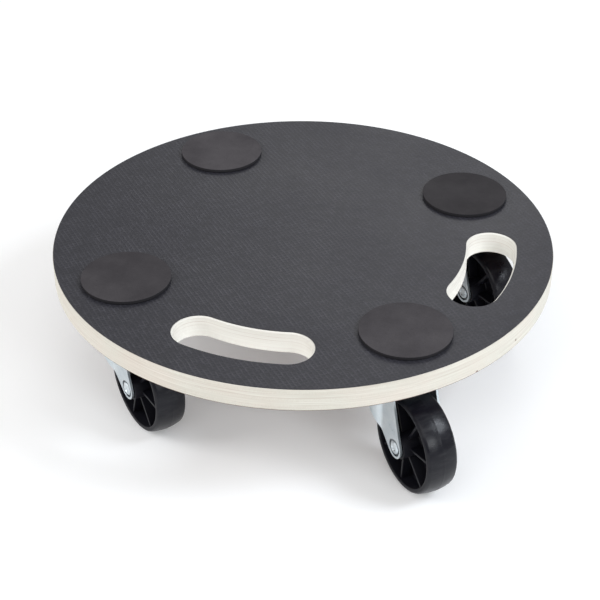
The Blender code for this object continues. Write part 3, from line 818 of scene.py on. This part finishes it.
def plywood():
    """Plies seen edge on: alternate plies show long grain and end grain as the edge goes round."""
    low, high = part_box("deck_plywood")
    wood = Surface("birch_plywood", Roughness=0.62, Specular_IOR_Level=0.3)
    split = wood.add("ShaderNodeSeparateXYZ", Vector=wood.place)
    wander = wood.noise(18.0, 2.0)
    height = wood.maths("ADD", split.outputs[2], wood.span(wander, 0.3, 0.7, -PLY_WANDER, PLY_WANDER))
    inner_ply = (high.z - low.z - 2.0 * OUTER_PLY) / (PLY_COUNT - 2)
    start = low.z + OUTER_PLY - inner_ply
    ply = wood.maths("DIVIDE", wood.maths("SUBTRACT", height, start), inner_ply)
    within = wood.maths("FRACT", ply)
    parity = wood.maths("FRACT", wood.maths("MULTIPLY", wood.maths("FLOOR", ply), 0.5))
    is_odd = wood.maths("GREATER_THAN", parity, 0.25)
    geometry = wood.add("ShaderNodeNewGeometry")
    facing = wood.add("ShaderNodeSeparateXYZ", Vector=geometry.outputs["True Normal"])
    along_x = wood.maths("POWER", wood.maths("ABSOLUTE", facing.outputs[0]), 2.0)
    along_y = wood.maths("POWER", wood.maths("ABSOLUTE", facing.outputs[1]), 2.0)
    crossing = wood.add("ShaderNodeMix", {"data_type": "FLOAT"}, _0=is_odd, _2=along_x, _3=along_y)
    end_grain = crossing.outputs[0]
    long_streaks = wood.noise(220.0, 4.0, 0.6, stretch=(0.10, 0.10, 6.0))
    pores = wood.noise(1500.0, 3.0, 0.6, stretch=(1.0, 1.0, 0.35))
    blotches = wood.noise(26.0, 3.0, 0.5)
    long_colour = wood.blend(wood.span(long_streaks, 0.35, 0.68, 0.0, 1.0),
                             (0.724, 0.697, 0.634), (0.590, 0.545, 0.482))
    end_colour = wood.blend(wood.span(pores, 0.40, 0.62, 0.0, 1.0),
                            (0.668, 0.632, 0.566), (0.580, 0.530, 0.461))
    colour = wood.blend(wood.maths("MULTIPLY", end_grain, 0.45), long_colour, end_colour)
    tint = wood.blend(wood.span(blotches, 0.40, 0.64, 0.0, 1.0), (0.955, 0.97, 0.955), (0.975, 0.95, 0.935))
    colour = wood.blend(1.0, colour, tint, "MULTIPLY")
    # Painted light: the slot walls, away from the outer edge, are painted paler against the shade inside the
    # slots
    flat = wood.add("ShaderNodeCombineXYZ", X=split.outputs[0], Y=split.outputs[1])
    reach = wood.add("ShaderNodeVectorMath", {"operation": "LENGTH"}, _0=flat.outputs[0]).outputs["Value"]
    painted_slot_light = wood.span(reach, high.x - PAINTED_SLOT_LIGHT_START, high.x - PAINTED_SLOT_LIGHT_END, 0.55, 0.0)
    colour = wood.blend(painted_slot_light, colour, (0.855, 0.845, 0.80))
    edge = wood.maths("ABSOLUTE", wood.maths("SUBTRACT", within, 0.5))
    glue_patches = wood.noise(16.0, 2.0, 0.5, stretch=(1.0, 1.0, 5.0))
    from_dark_pair = wood.maths("ABSOLUTE", wood.maths("SUBTRACT", height, high.z - DARK_GLUE_DEPTH))
    glue_strength = wood.span(from_dark_pair, DARK_GLUE_REACH, DARK_GLUE_FADE, 1.0, 0.22)
    glue_shows = wood.maths("MULTIPLY", glue_strength, wood.span(glue_patches, 0.40, 0.60, 0.18, 0.85))
    glue = wood.maths("MULTIPLY", wood.span(edge, 0.43, 0.49, 0.0, 1.0), glue_shows)
    colour = wood.blend(glue, colour, (0.50, 0.40, 0.34))
    for azimuth, knot_height in PIN_KNOTS:
        spot = (high.x * cos(azimuth), high.x * sin(azimuth), knot_height)
        away = wood.add("ShaderNodeVectorMath", {"operation": "DISTANCE"}, _0=wood.place, _1=spot)
        knot = wood.span(away.outputs["Value"], KNOT_RADIUS * 0.5, KNOT_RADIUS, 0.85, 0.0)
        colour = wood.blend(knot, colour, (0.16, 0.09, 0.07))
    relief = wood.maths("SUBTRACT", wood.maths("MULTIPLY", pores, 0.5), glue)
    normal = wood.bump(relief, 0.00012, 0.45)
    return wood.finish(Base_Color=colour, Normal=normal)


def antislip_film():
    """Dark phenolic film with a square wire mesh pressed into it, worn unevenly."""
    film = Surface("grey_antislip_film", Specular_IOR_Level=0.35)
    split = film.add("ShaderNodeSeparateXYZ", Vector=film.place)
    wander = film.span(film.noise(60.0, 2.0), 0.3, 0.7, -0.9, 0.9)
    waves = []
    for heading in (MESH_HEADING, MESH_HEADING + pi / 2.0):
        phase = film.maths("MULTIPLY_ADD", split.outputs[0], cos(heading) * 2.0 * pi / MESH_PITCH, wander)
        phase = film.maths("MULTIPLY_ADD", split.outputs[1], sin(heading) * 2.0 * pi / MESH_PITCH, phase)
        waves.append(film.maths("COSINE", phase))
    worn = film.span(film.noise(160.0, 3.0, 0.6), 0.34, 0.66, 0.22, 1.0)
    wires = film.maths("MAXIMUM", waves[0], film.maths("MULTIPLY", waves[1], 0.5))
    mesh = film.maths("MULTIPLY", film.span(wires, -0.7, 0.95, 0.0, 1.0), worn)
    grit = film.noise(900.0, 3.0, 0.7)
    patches = film.noise(9.0, 4.0, 0.55)
    scuffs = film.noise(70.0, 4.0, 0.7, stretch=(0.25, 1.6, 1.0))
    colour = film.blend(film.span(patches, 0.35, 0.65, 0.0, 1.0),
                        (0.0176, 0.0173, 0.0224), (0.0224, 0.0220, 0.0280))
    colour = film.blend(mesh, colour, (0.049, 0.048, 0.0592))
    colour = film.blend(film.span(grit, 0.36, 0.64, 0.8, 0.0), colour, (0.0135, 0.0132, 0.0172))
    colour = film.blend(film.span(scuffs, 0.60, 0.80, 0.0, 0.16), colour, (0.14, 0.14, 0.15))
    roughness = film.maths("ADD", film.span(patches, 0.3, 0.7, 0.44, 0.52),
                           film.span(scuffs, 0.55, 0.8, 0.0, 0.1))
    height = film.maths("ADD", mesh, film.maths("MULTIPLY", grit, 0.3))
    normal = film.bump(height, 0.00020, 0.6)
    return film.finish(Base_Color=colour, Roughness=roughness, Normal=normal)


def underside_film():
    """Smooth brown phenolic film with faint streaks of the veneer behind it."""
    film = Surface("brown_smooth_film")
    grain = film.noise(60.0, 5.0, 0.6, stretch=(0.12, 1.4, 1.0))
    mottle = film.noise(420.0, 3.0, 0.6)
    colour = film.blend(film.span(grain, 0.35, 0.68, 0.0, 1.0), (0.085, 0.040, 0.024), (0.135, 0.068, 0.040))
    roughness = film.span(mottle, 0.3, 0.7, 0.28, 0.42)
    normal = film.bump(grain, 0.0002, 0.25)
    return film.finish(Base_Color=colour, Roughness=roughness, Normal=normal)


def rubber(shade):
    """Matt foam rubber, its side painted blacker as shade than its dusty face; each pad has its own tone."""
    pad = Surface("black_rubber", Roughness=0.85, Specular_IOR_Level=0.2)
    face = (0.038 * shade, 0.0345 * shade, 0.038 * shade)
    pale_face = (0.063 * shade, 0.058 * shade, 0.062 * shade)
    geometry = pad.add("ShaderNodeNewGeometry")
    facing = pad.add("ShaderNodeSeparateXYZ", Vector=geometry.outputs["True Normal"])
    painted_side_shade = pad.span(facing.outputs[2], 0.35, 0.85, 1.0, 0.0)
    cloud = pad.noise(22.0, 4.0, 0.6)
    speckle = pad.noise(900.0, 3.0, 0.7)
    dust = pad.noise(160.0, 4.0, 0.7)
    colour = pad.blend(pad.span(cloud, 0.35, 0.68, 0.0, 1.0), face, pale_face)
    colour = pad.blend(pad.span(speckle, 0.5, 0.75, 0.0, 0.35), colour, (0.024, 0.021, 0.022))
    colour = pad.blend(pad.span(dust, 0.62, 0.82, 0.0, 0.2), colour,
                       (0.12 * shade, 0.11 * shade, 0.115 * shade))
    # Painted shade: the pad's side, facing away from the top, is painted near black
    colour = pad.blend(pad.maths("MULTIPLY", painted_side_shade, 0.9), colour, (0.018, 0.0172, 0.020))
    normal = pad.bump(speckle, 0.00016, 0.5)
    return pad.finish(Base_Color=colour, Normal=normal)


def painted_dish_shade(metal):
    """Painted shade in the groove between an axle head and the dish that it sits in."""
    split = metal.add("ShaderNodeSeparateXYZ", Vector=metal.place)
    flat = metal.add("ShaderNodeCombineXYZ", X=split.outputs[0], Y=split.outputs[2])
    axle = (TRAIL, WHEEL_RADIUS, 0.0)
    reach = metal.add("ShaderNodeVectorMath", {"operation": "DISTANCE"}, _0=flat.outputs[0], _1=axle)
    from_axle = reach.outputs["Value"]
    beyond_head = metal.span(from_axle, AXLE_HEAD_RADIUS - DISH_SHADE_ON_HEAD, AXLE_HEAD_RADIUS, 0.0, 1.0)
    within_dish = metal.span(from_axle, DIMPLE_RADIUS, DIMPLE_RADIUS + DISH_SHADE_PAST_DIMPLE, 1.0, 0.0)
    face = metal.maths("ABSOLUTE", split.outputs[1])
    below_face = metal.span(face, LEG_OUTER - DISH_SHADE_DEEP, LEG_OUTER - DISH_SHADE_SHALLOW, 1.0, 0.0)
    uneven = metal.span(metal.noise(420.0, 2.0), 0.36, 0.58, 0.45, 1.0)
    return metal.maths("MULTIPLY", metal.maths("MULTIPLY", beyond_head, within_dish),
                       metal.maths("MULTIPLY", below_face, uneven))


def zinc(name="zinc_plated_steel", has_dish_shade=False):
    """Bright zinc plating: faint rolled streaks and clouding under a bluish passivate."""
    metal = Surface(name, Metallic=1.0)
    cloud = metal.noise(70.0, 4.0, 0.6)
    rolled = metal.noise(900.0, 3.0, 0.6, stretch=(0.15, 1.0, 1.0))
    specks = metal.noise(1800.0, 2.0, 0.6)
    colour = metal.blend(metal.span(cloud, 0.35, 0.65, 0.0, 1.0), (0.575, 0.645, 0.685), (0.70, 0.75, 0.775))
    colour = metal.blend(metal.span(specks, 0.66, 0.80, 0.0, 0.5), colour, (0.42, 0.43, 0.44))
    if has_dish_shade:
        # Painted shade: the groove between each axle head and its dish is painted near black
        colour = metal.blend(painted_dish_shade(metal), colour, (0.045, 0.045, 0.05))
    roughness = metal.maths("ADD", metal.span(cloud, 0.3, 0.7, 0.24, 0.36),
                            metal.span(rolled, 0.3, 0.7, 0.0, 0.09))
    normal = metal.bump(metal.maths("ADD", rolled, metal.maths("MULTIPLY", specks, 0.4)), 0.00006, 0.35)
    return metal.finish(Base_Color=colour, Roughness=roughness, Normal=normal)


def bearing_steel():
    """Polished steel under a thin smear of grease."""
    metal = Surface("greased_bearing_steel", Metallic=1.0)
    smear = metal.noise(240.0, 4.0, 0.6)
    colour = metal.blend(metal.span(smear, 0.4, 0.66, 0.0, 1.0), (0.58, 0.57, 0.55), (0.26, 0.20, 0.13))
    roughness = metal.span(smear, 0.35, 0.7, 0.12, 0.38)
    return metal.finish(Base_Color=colour, Roughness=roughness, Normal=metal.bump(smear, 0.00008, 0.3))


def polypropylene():
    """Satin black moulding with a fine grain; the tread is rolled smoother and faintly scuffed."""
    plastic = Surface("black_polypropylene", Specular_IOR_Level=0.24)
    split = plastic.add("ShaderNodeSeparateXYZ", Vector=plastic.place)
    flat = plastic.add("ShaderNodeCombineXYZ", X=split.outputs[0], Y=split.outputs[1])
    reach = plastic.add("ShaderNodeVectorMath", {"operation": "LENGTH"}, _0=flat.outputs[0]).outputs["Value"]
    tread_edge = WHEEL_RADIUS - TREAD_CROWN
    tread = plastic.span(reach, tread_edge - TREAD_FADE, tread_edge, 0.0, 1.0)
    grain = plastic.noise(1400.0, 3.0, 0.6)
    scuff = plastic.noise(220.0, 5.0, 0.7, stretch=(1.0, 1.0, 0.25))
    cloud = plastic.noise(45.0, 3.0, 0.5)
    base = plastic.blend(plastic.span(cloud, 0.35, 0.65, 0.0, 1.0),
                         (0.0046, 0.0046, 0.0080), (0.0066, 0.0066, 0.0104))
    worn = plastic.maths("MULTIPLY", plastic.span(scuff, 0.48, 0.78, 0.0, 0.35), tread)
    colour = plastic.blend(worn, base, (0.045, 0.045, 0.048))
    satin = plastic.maths("ADD", plastic.span(cloud, 0.3, 0.7, 0.46, 0.52),
                          plastic.maths("MULTIPLY", worn, 0.5))
    roughness = plastic.maths("MULTIPLY_ADD", tread, -0.20, satin)
    normal = plastic.bump(plastic.maths("ADD", grain, plastic.maths("MULTIPLY", scuff, tread)), 0.00008, 0.3)
    return plastic.finish(Base_Color=colour, Roughness=roughness, Normal=normal)


# Assembly

def build_deck(zinc_metal):
    show("board", board_mesh(), plywood(), "deck", "deck_plywood")
    show("top_film", film_mesh("antislip_film"), antislip_film(), "deck", "antislip_film")
    show("bottom_film", film_mesh("underside_film"), underside_film(), "deck",
         "underside_film")
    disc = pad_mesh()
    for station in STATIONS:
        low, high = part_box(f"pad_{station}")
        place = Matrix.Translation(((low.x + high.x) / 2.0, (low.y + high.y) / 2.0, low.z))
        pad = moved(disc.copy(), place)
        show(f"grip_pad_{station}", pad, rubber(PAD_SHADES[station]), "deck", f"pad_{station}")
    low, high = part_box("screw_front_right_1")
    screw = screw_mesh(low.z, high.z)
    for station in STATIONS:
        for number in range(1, 5):
            node = f"screw_{station}_{number}"
            low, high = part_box(node)
            place = Matrix.Translation(((low.x + high.x) / 2.0, (low.y + high.y) / 2.0, 0.0))
            turn = Matrix.Rotation(SCREW_TURN * number, 4, "Z")
            show(f"wood_{node}", screw.copy(), zinc_metal, "deck", node, place @ turn)


def build_casters(zinc_metal, fork_zinc, steel, plastic):
    at = levels()
    plate_shape = top_plate_mesh(at)
    pin_shape = kingpin_mesh(at)
    race_shape = lower_race_mesh(at)
    fork_shape = fork_mesh(at)
    axle_shape = axle_mesh()
    sleeve_shape = sleeve_mesh()
    balls_shape = ball_ring_mesh()
    for station in STATIONS:
        fixed = caster_matrix(station, mounting_azimuth(station))
        turning = caster_matrix(station, trail_azimuth(station))
        for piece, shape in (("top_plate", plate_shape), ("kingpin", pin_shape), ("lower_race", race_shape)):
            node = f"{piece}_{station}"
            show(f"{node}_look", shape.copy(), zinc_metal, "deck", node, fixed)
        for piece, shape, material, slot in (("fork", fork_shape, fork_zinc, "zinc_steel"),
                                             ("axle", axle_shape, zinc_metal, "zinc_steel"),
                                             ("sleeve", sleeve_shape, steel, "bearing_steel")):
            node = f"{piece}_{station}"
            show(f"{node}_look", shape.copy(), material, f"caster_{station}", node, turning)
        for piece in ("upper_balls", "lower_balls"):
            node = f"{piece}_{station}"
            lift = Matrix.Translation((0.0, 0.0, at[piece]))
            show(f"{node}_look", balls_shape.copy(), steel, f"balls_{station}", node,
                 turning @ lift)
        hub = Matrix.Translation((TRAIL, 0.0, WHEEL_RADIUS)) @ Matrix.Rotation(pi / 2.0, 4, "X")
        show(f"wheel_{station}_look", wheel_mesh(radians(RIB_ANGLES[station])), plastic,
             f"roller_{station}", f"wheel_{station}", turning @ hub)


# Stage

CAMERA_AZIMUTH = radians(-72.6)
CAMERA_ELEVATION = radians(32.079)
CAMERA_DISTANCE = 1.2368
CAMERA_LENS = 92.08
CAMERA_YAW = -0.0018
CAMERA_PITCH = -0.0409
CAMERA_ROLL = radians(0.241)
SENSOR_WIDTH = 36.0
CLIP_NEAR = 0.05
CLIP_FAR = 40.0
WHITE = (1.0, 1.0, 1.0)
COOL_WHITE = (0.87, 0.93, 1.0)
FAINTLY_COOL_WHITE = (0.93, 0.97, 1.0)
LIT_HEIGHT = 0.08
FLOOR_HALF = 9.0
FLOOR_GLOW = 0.15
WORLD_STRENGTH = 0.42


def toward(azimuth, elevation):
    return Vector((cos(elevation) * cos(azimuth), cos(elevation) * sin(azimuth), sin(elevation)))


def add_camera():
    target = Vector((0.0, 0.0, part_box("antislip_film")[1].z))
    place = target + toward(CAMERA_AZIMUTH, CAMERA_ELEVATION) * CAMERA_DISTANCE
    forward = (target - place).normalized()
    right = forward.cross(Vector((0.0, 0.0, 1.0))).normalized()
    up = right.cross(forward)
    aim = (forward + right * CAMERA_YAW + up * CAMERA_PITCH).normalized()
    level = aim.cross(up).normalized()
    upright = level.cross(aim)
    right = level * cos(CAMERA_ROLL) + upright * sin(CAMERA_ROLL)
    up = upright * cos(CAMERA_ROLL) - level * sin(CAMERA_ROLL)
    turn = Matrix((right, up, -aim)).transposed().to_4x4()
    lens = bpy.data.cameras.new("camera")
    lens.lens = CAMERA_LENS
    lens.sensor_width = SENSOR_WIDTH
    lens.clip_start = CLIP_NEAR
    lens.clip_end = CLIP_FAR
    camera = bpy.data.objects.new("camera", lens)
    camera.matrix_world = Matrix.Translation(place) @ turn
    bpy.context.scene.collection.objects.link(camera)
    bpy.context.scene.camera = camera


def add_soft_box(name, azimuth, elevation, distance, size, power, colour=WHITE):
    """Square area light aimed at the dolly; its azimuth is off the camera's own, both in degrees."""
    lamp = bpy.data.lights.new(name, "AREA")
    lamp.shape = "SQUARE"
    lamp.size = size
    lamp.energy = power
    lamp.color = colour
    light = bpy.data.objects.new(name, lamp)
    direction = toward(CAMERA_AZIMUTH + radians(azimuth), radians(elevation))
    light.location = direction * distance + Vector((0.0, 0.0, LIT_HEIGHT))
    light.rotation_mode = "QUATERNION"
    light.rotation_quaternion = direction.to_track_quat("Z", "Y")
    bpy.context.scene.collection.objects.link(light)


def add_floor():
    half = FLOOR_HALF
    floor_mesh = mesh_from([(-half, -half, 0.0), (half, -half, 0.0), (half, half, 0.0), (-half, half, 0.0)],
                           [[0, 1, 2, 3]])
    paper = Surface("pale_floor", Roughness=0.9, Emission_Color=WHITE, Emission_Strength=FLOOR_GLOW)
    tone = paper.noise(3.0, 2.0)
    colour = paper.blend(paper.span(tone, 0.3, 0.7, 0.0, 1.0), (0.86, 0.86, 0.86), (0.88, 0.88, 0.88))
    floor_mesh.materials.append(paper.finish(Base_Color=colour))
    floor = bpy.data.objects.new("floor", floor_mesh)
    bpy.context.scene.collection.objects.link(floor)


def add_world():
    world = bpy.data.worlds.new("studio")
    world.use_nodes = True
    background = world.node_tree.nodes["Background"]
    background.inputs["Color"].default_value = (*WHITE, 1.0)
    background.inputs["Strength"].default_value = WORLD_STRENGTH
    bpy.context.scene.world = world


zinc_metal = zinc()
build_deck(zinc_metal)
build_casters(zinc_metal, zinc("zinc_plated_fork", True), bearing_steel(), polypropylene())
add_camera()
add_soft_box("key", azimuth=73.0, elevation=43.0, distance=2.2, size=0.75, power=25.0, colour=COOL_WHITE)
add_soft_box("back", azimuth=172.0, elevation=36.0, distance=2.6, size=1.0, power=8.5)
add_soft_box("front_fill", azimuth=-10.0, elevation=48.0, distance=2.4, size=1.6, power=14.0)
add_soft_box("right_fill", azimuth=33.0, elevation=26.0, distance=2.4, size=0.7, power=12.0,
             colour=FAINTLY_COOL_WHITE)
add_soft_box("left_fill", azimuth=-82.0, elevation=28.0, distance=2.6, size=1.2, power=28.0)
add_floor()
add_world()
bpy.context.scene.view_settings.view_transform = "Standard"
